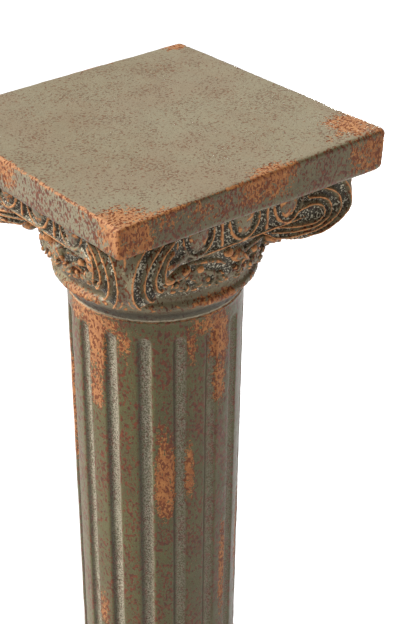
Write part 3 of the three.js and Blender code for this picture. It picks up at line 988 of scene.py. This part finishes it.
def aged_paint(
    name,
    ground,
    shade,
    lit_and_bleached,
    dusty,
    dust,
    speckled,
    arris_wear,
    fleck=2.6,
    dotted=0.66,
    crest_highlighting=0.0,
    sheen=0.28,
):
    """Satin olive paint over terracotta: specks, worn crests and patches, grime and painted shade in the
    hollows, painted light towards the key light, and painted highlights.
    """
    bench = Bench(name)
    crest, hollow, worn, frost_and_light, lit_and_faded, lying, seam, painted_shade = (bench.stored(mark) for mark in MARKS)
    broad = bench.noise(70, 3, 0.55)
    middle = bench.noise(16, 4, 0.6, shift=40)
    fine = bench.noise(3.2, 3, 0.65, shift=90)
    grain = bench.noise(1.1, 2, 0.6, shift=7)

    colour = bench.mix((broad * 0.6 + middle * 0.4).step(0.36, 0.64), ground, shade)
    # paler where the surface faces the key light: painted light, with some sun fading
    colour = bench.mix(lit_and_faded, colour, lit_and_bleached)
    blush = bench.noise(60, 3, 0.6, stretch=(1.0, 0.6, 1.0), shift=620)
    colour = bench.mix(lying * blush.step(0.42, 0.62) * 0.45, colour, BLUSH)
    settled = bench.noise(120, 2, 0.5, shift=200) * 0.5 + fine * 0.5
    colour = bench.mix(settled.step(0.45, 0.62) * dusty, colour, dust)
    colour = bench.mix(grain.step(0.5, 0.75) * 0.3, colour, DARK_GRAIN)
    colour = bench.mix(grain.step(0.5, 0.25) * 0.2, colour, PALE_GRAIN)

    # red-brown flakes, some scattered singly and some in drifts
    drift = bench.noise(34, 2, 0.5, shift=310) - 0.5
    flake = bench.noise(fleck, 0.7, 0.5, stretch=(1.0, 1.0, 0.6), turn=(0.5, 0.6, 0.2), shift=17)
    chip = bench.noise(fleck * 0.6, 0.8, 0.5, stretch=(1.0, 1.0, 0.6), turn=(-0.4, 0.7, 0), shift=61)
    tally = drift * 0.35 + speckled - lying * 0.05
    flakes = (flake + tally).step(0.585, 0.605)
    chips = (chip + tally).step(0.60, 0.625)
    red = bench.mix(fine.step(0.35, 0.65), FLAKE_DARK, FLAKE_LIGHT)
    colour = bench.mix(flakes.either(chips * 0.85) * (0.95 - lying * 0.45), colour, red)

    # grime and painted shade in what is hollow and where painted shade is marked, and pale stipple in
    # what is hollow
    grime_and_shade = (hollow.either(painted_shade) * (0.5 + 0.9 * fine)).held()
    colour = bench.mix(grime_and_shade * 0.84, colour, GRIME_AND_SHADE)
    stipple = (bench.noise(1.9, 2.5, 0.6, shift=133) * 0.8 + middle * 0.2).step(0.53, 0.60)
    colour = bench.mix(stipple * hollow.step(0.3, 0.8) * dotted, colour, STIPPLE)

    # the crackled floor of the flutes, paler on the lit walls and the lit side of the shaft: partly
    # painted light
    crackle = bench.noise(1.5, 2.5, 0.65, shift=250).step(0.43, 0.56)
    frosted_and_lit = (frost_and_light * (0.35 + 1.3 * middle)).held()
    colour = bench.mix(frosted_and_lit * 0.6, colour, FLUTE_DUST)
    colour = bench.mix(frosted_and_lit * crackle * 0.8, colour, FLUTE_FROST)

    # bare terracotta on crests and in the worn patches
    ragged = bench.noise(12, 6, 0.75, shift=500) - 0.5
    torn = bench.noise(3.2, 4, 0.75, shift=411) - 0.5
    fretted = bench.noise(1.6, 3, 0.65, shift=812) - 0.5
    bare = (worn + ragged * 1.4 + torn * 2.2 + (flake - 0.5) * 0.9 + fretted * 0.9).step(0.55, 0.60)
    rubbed = (crest * arris_wear + worn * 0.5 + ragged * 1.5 + torn * 1.4).step(0.54, 0.68)
    pale, deep, rust = TERRACOTTA
    clay = bench.mix(bench.noise(7, 4, 0.65, shift=77).step(0.35, 0.65), pale, deep)
    # the bare clay is paler towards the key light too: painted light, with some sun fading
    clay = bench.mix(lit_and_faded * 0.5, clay, TERRACOTTA_LIT_AND_FADED)
    rusty = (chip - 0.5) * 0.8 + (flake - 0.5) + torn * 0.3
    clay = bench.mix(rusty.step(0.05, 0.09) * 0.9, clay, rust)
    clay = bench.mix(grain.step(0.45, 0.75) * 0.3, clay, rust)
    shed = bare.either(rubbed)
    colour = bench.mix(shed, colour, clay)
    rim = shed * (1 - shed) * 4
    colour = bench.mix(rim * 0.6, colour, CHIP_RIM)
    # painted highlights along the crests
    crest_highlight = crest.step(0.5, 0.95) * (torn * 2.4 + 0.55).held()
    colour = bench.mix(crest_highlight * crest_highlighting, colour, CREST_HIGHLIGHT)
    # a painted highlight along the groove under the neck
    seam_highlight = seam.step(0.35, 0.8) * (middle * 1.5).held() * 0.85
    colour = bench.mix(seam_highlight, colour, SEAM_HIGHLIGHT)

    rough = 0.30 + 0.16 * middle + shed * 0.24 + grime_and_shade * 0.15 + frosted_and_lit * 0.08
    bench.put(bench.shader.inputs["Base Color"], colour)
    bench.put(bench.shader.inputs["Roughness"], rough.held())
    height = grain * 0.3 + fine * 0.45 - shed * 0.5 - flakes * 0.25
    height = height + crackle * frosted_and_lit * 0.9 + stipple * hollow * dotted * 0.8
    bump = bench.node("ShaderNodeBump", None, {"Height": height, "Strength": 0.6, "Distance": 0.0006})
    bench.put(bench.shader.inputs["Normal"], bump.outputs[0])
    bench.shader.inputs["Specular IOR Level"].default_value = sheen
    return bench.material


def dressed(piece, finish):
    piece.data.materials.clear()
    piece.data.materials.append(finish)
    take(piece)
    bpy.ops.object.shade_smooth()
    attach(piece, "root")
    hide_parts("pedestal")


def stood(name, light, place, source):
    """A lamp at a place, which shines from the side where its source lies."""
    lamp = bpy.data.objects.new(name, light)
    lamp.location = place
    lamp.rotation_euler = Vector(source).to_track_quat("Z", "Y").to_euler()
    bpy.context.scene.collection.objects.link(lamp)


def studio():
    deselect()
    bpy.ops.mesh.primitive_plane_add(size=90, location=(0, 0, 0))
    floor = bpy.context.object
    floor.name = "studio_floor"
    pale = bpy.data.materials.new("pale_floor")
    pale.use_nodes = True
    sockets = pale.node_tree.nodes["Principled BSDF"].inputs
    sockets["Base Color"].default_value = (0.28, 0.28, 0.28, 1)
    sockets["Roughness"].default_value = 0.9
    sockets["Specular IOR Level"].default_value = 0.0
    sockets["Emission Color"].default_value = (1, 1, 1, 1)
    sockets["Emission Strength"].default_value = 0.86
    floor.data.materials.append(pale)

    world = bpy.data.worlds.new("studio")
    bpy.context.scene.world = world
    world.use_nodes = True
    sockets = world.node_tree.nodes["Background"].inputs
    sockets["Color"].default_value = (1, 1, 1, 1)
    sockets["Strength"].default_value = 0.29

    # an upright strip behind the right side, level with the shaft's middle
    strip = bpy.data.lights.new("rim_light", "AREA")
    strip.shape = "RECTANGLE"
    strip.size = 0.12
    strip.size_y = 0.9
    strip.energy = 18
    stood("rim_light", strip, (1.5, 1.0, 0.40), (1.5, 1.0, 0))

    sun = bpy.data.lights.new("key_light", "SUN")
    sun.energy = 4.75
    sun.angle = math.radians(15)
    stood("key_light", sun, (0, 0, 0), (-1.0, 0.62, 1.25))


def photo_camera():
    """The camera as solved from the photograph: a long lens from the front left, looking down."""
    azimuth = math.radians(-39.977)
    pitch = math.radians(31.324)
    tilt = math.radians(0.838)
    focal = 1253.29
    distance = 1148.48
    # where the middle of the slab's top lies in the picture
    middle_x = 153.966
    middle_y = 121.433
    shift = (
        (middle_x - PHOTO_WIDE / 2) / focal * distance,
        -(middle_y - PHOTO_HIGH / 2) / focal * distance,
        -distance,
    )
    level_back = math.cos(pitch)
    back = Vector((math.sin(azimuth) * level_back, -math.cos(azimuth) * level_back, math.sin(pitch)))
    right = Vector((math.cos(azimuth), math.sin(azimuth), 0))
    up = back.cross(right)
    c, s = math.cos(tilt), math.sin(tilt)
    right, up = c * right + s * up, -s * right + c * up
    turn = Matrix((right, up, back))
    place = -(turn.transposed() @ Vector(shift)) + Vector((0, 0, LEVEL))
    data = bpy.data.cameras.new("photo_camera")
    data.lens = focal * SENSOR / PHOTO_HIGH
    data.sensor_width = SENSOR
    data.clip_end = 100
    camera = bpy.data.objects.new("photo_camera", data)
    camera.matrix_world = Matrix.Translation(place * MM) @ turn.transposed().to_4x4()
    bpy.context.scene.collection.objects.link(camera)
    bpy.context.scene.camera = camera


slab_paint = aged_paint(
    "slab_paint",
    ground=tone(102, 94, 62),
    shade=tone(90, 81, 52),
    lit_and_bleached=tone(144, 134, 110),
    dusty=0.3,
    dust=tone(126, 106, 78),
    speckled=0.015,
    arris_wear=0.60,
)
# paler than the slab's paint, to lighten the scrolls and the bell in the slab's shade: painted light
scroll_paint_lightened = aged_paint(
    "scroll_paint_lightened",
    ground=tone(128, 117, 88),
    shade=tone(104, 92, 67),
    lit_and_bleached=tone(138, 128, 100),
    dusty=0.3,
    dust=tone(130, 116, 90),
    speckled=-0.03,
    arris_wear=1.25,
    crest_highlighting=0.65,
)
body_paint = aged_paint(
    "body_paint",
    ground=tone(86, 82, 40),
    shade=tone(77, 70, 34),
    lit_and_bleached=tone(100, 94, 60),
    dusty=0.22,
    dust=tone(94, 82, 50),
    speckled=0.01,
    arris_wear=0.85,
    fleck=3.0,
    dotted=0.0,
    sheen=0.32,
)
for make, finish, wear, settings in (
    (slab, slab_paint, SLAB_WEAR, dict(crest=(0.22, 0.5), hollow=(1.5, 3.0))),
    (scrolls, scroll_paint_lightened, (), dict(crest=(0.18, 0.40), hollow=(0.3, 1.6), carved=True, kept=STEM_KEPT)),
    (
        bell,
        scroll_paint_lightened,
        BELL_WEAR,
        dict(crest=(0.3, 0.75), hollow=(0.12, 0.8), hollows_above=LEVEL - 128, painted_shade=RING_SHADE),
    ),
    (shaft, body_paint, SHAFT_WEAR, dict(crest=(0.3, 0.8), hollow=(1.2, 2.6), flutes=True)),
    (foot, body_paint, FOOT_WEAR, dict(crest=(0.10, 0.35), hollow=(0.8, 2.2))),
):
    made = make()
    weigh_surface(made, wear, **settings)
    dressed(made, finish)
studio()
photo_camera()
bpy.context.scene.view_settings.view_transform = "Standard"
